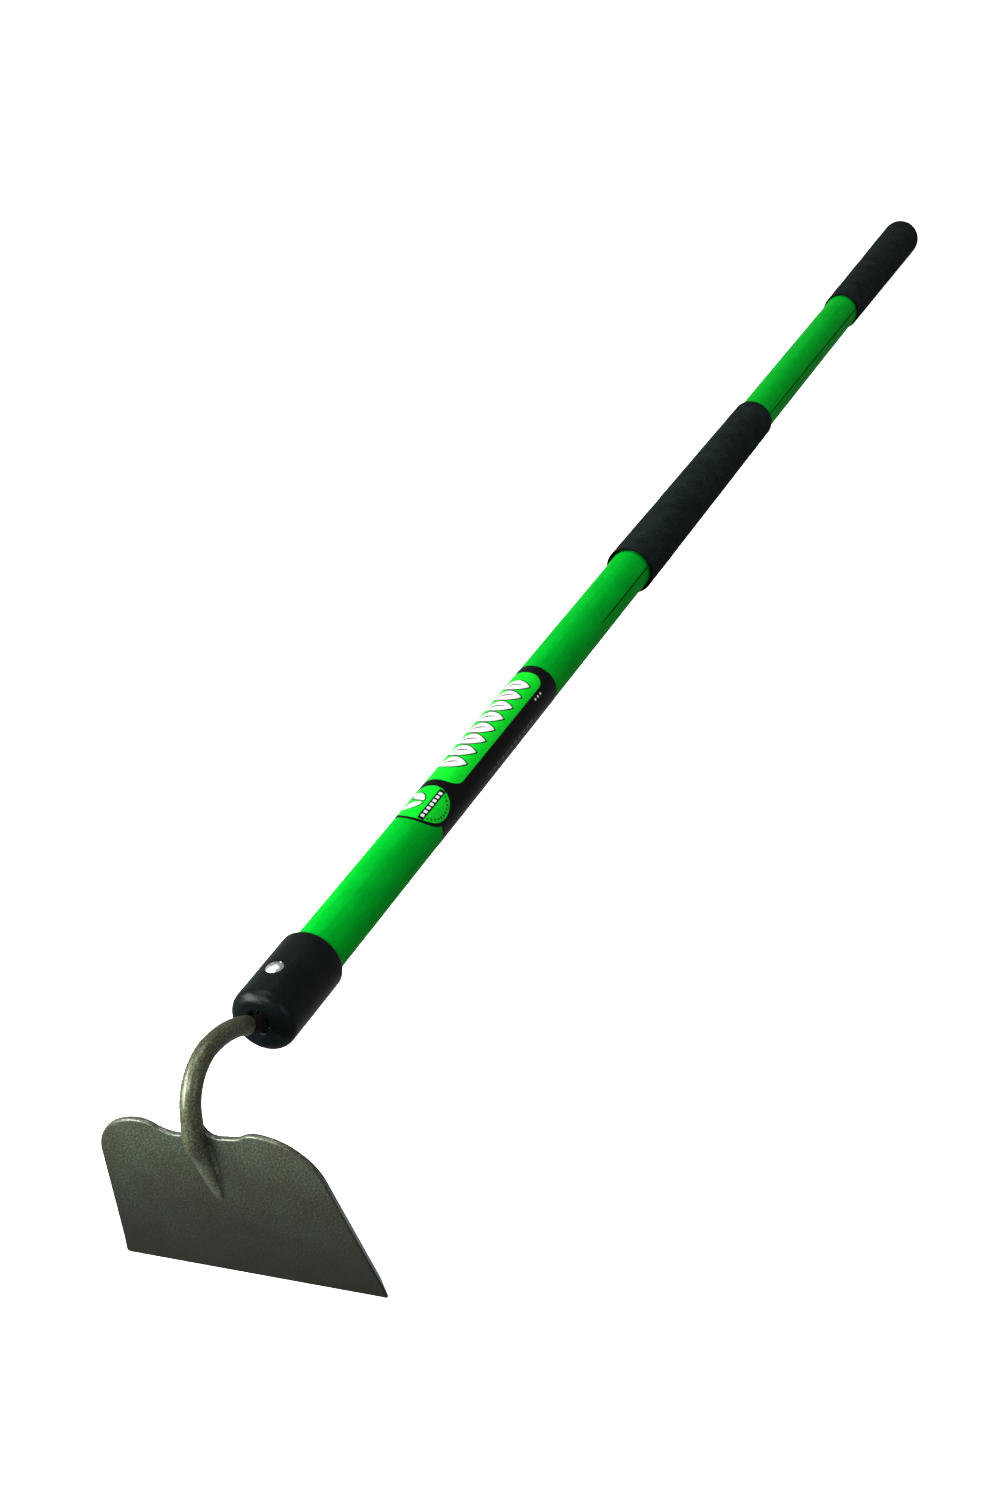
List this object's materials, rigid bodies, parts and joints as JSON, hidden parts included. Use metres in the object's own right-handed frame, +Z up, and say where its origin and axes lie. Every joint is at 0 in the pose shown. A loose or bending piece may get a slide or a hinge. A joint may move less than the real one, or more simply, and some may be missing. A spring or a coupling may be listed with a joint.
{
  "type": "grub hoe",
  "caption": "Long-handled grub hoe: wide steel blade on a gooseneck riveted into a glass-fibre tube handle, with a foam grip at mid length and at the end.",
  "frame": {"origin": "on the ground under the middle of the hoe's length, in the hoe's plane of symmetry, as it lies on its cutting edge and its end grip", "axes": "+X from the blade towards the end grip, +Y across the blade, +Z up from the ground"},
  "size_m": [1.4508, 0.1582, 0.1352],
  "materials": {
    "lacquered_steel": "dark bronze-grey lacquer over forged steel, fine speckle",
    "moulded_black": "black moulded plastic, fine grain, satin",
    "core_plastic": "plain moulded plastic",
    "rivet_steel": "bright zinc-plated steel",
    "green_fibreglass": "pigmented glass-fibre, satin gloss with lengthwise streaks",
    "label_film": "printed film, black ground with green panels and plain shapes",
    "foam": "closed-cell foam, matte, fine pores"
  },
  "bodies": {
    "root": {"blade": "lacquered_steel", "gooseneck": "lacquered_steel", "neck_weld": "lacquered_steel", "ferrule": "moulded_black", "tang_core": "core_plastic", "rivet": "rivet_steel", "handle_tube": "green_fibreglass", "label": "label_film", "mid_grip": "foam", "end_grip": "foam", "top_plug": "core_plastic"}
  },
  "joints": []
}
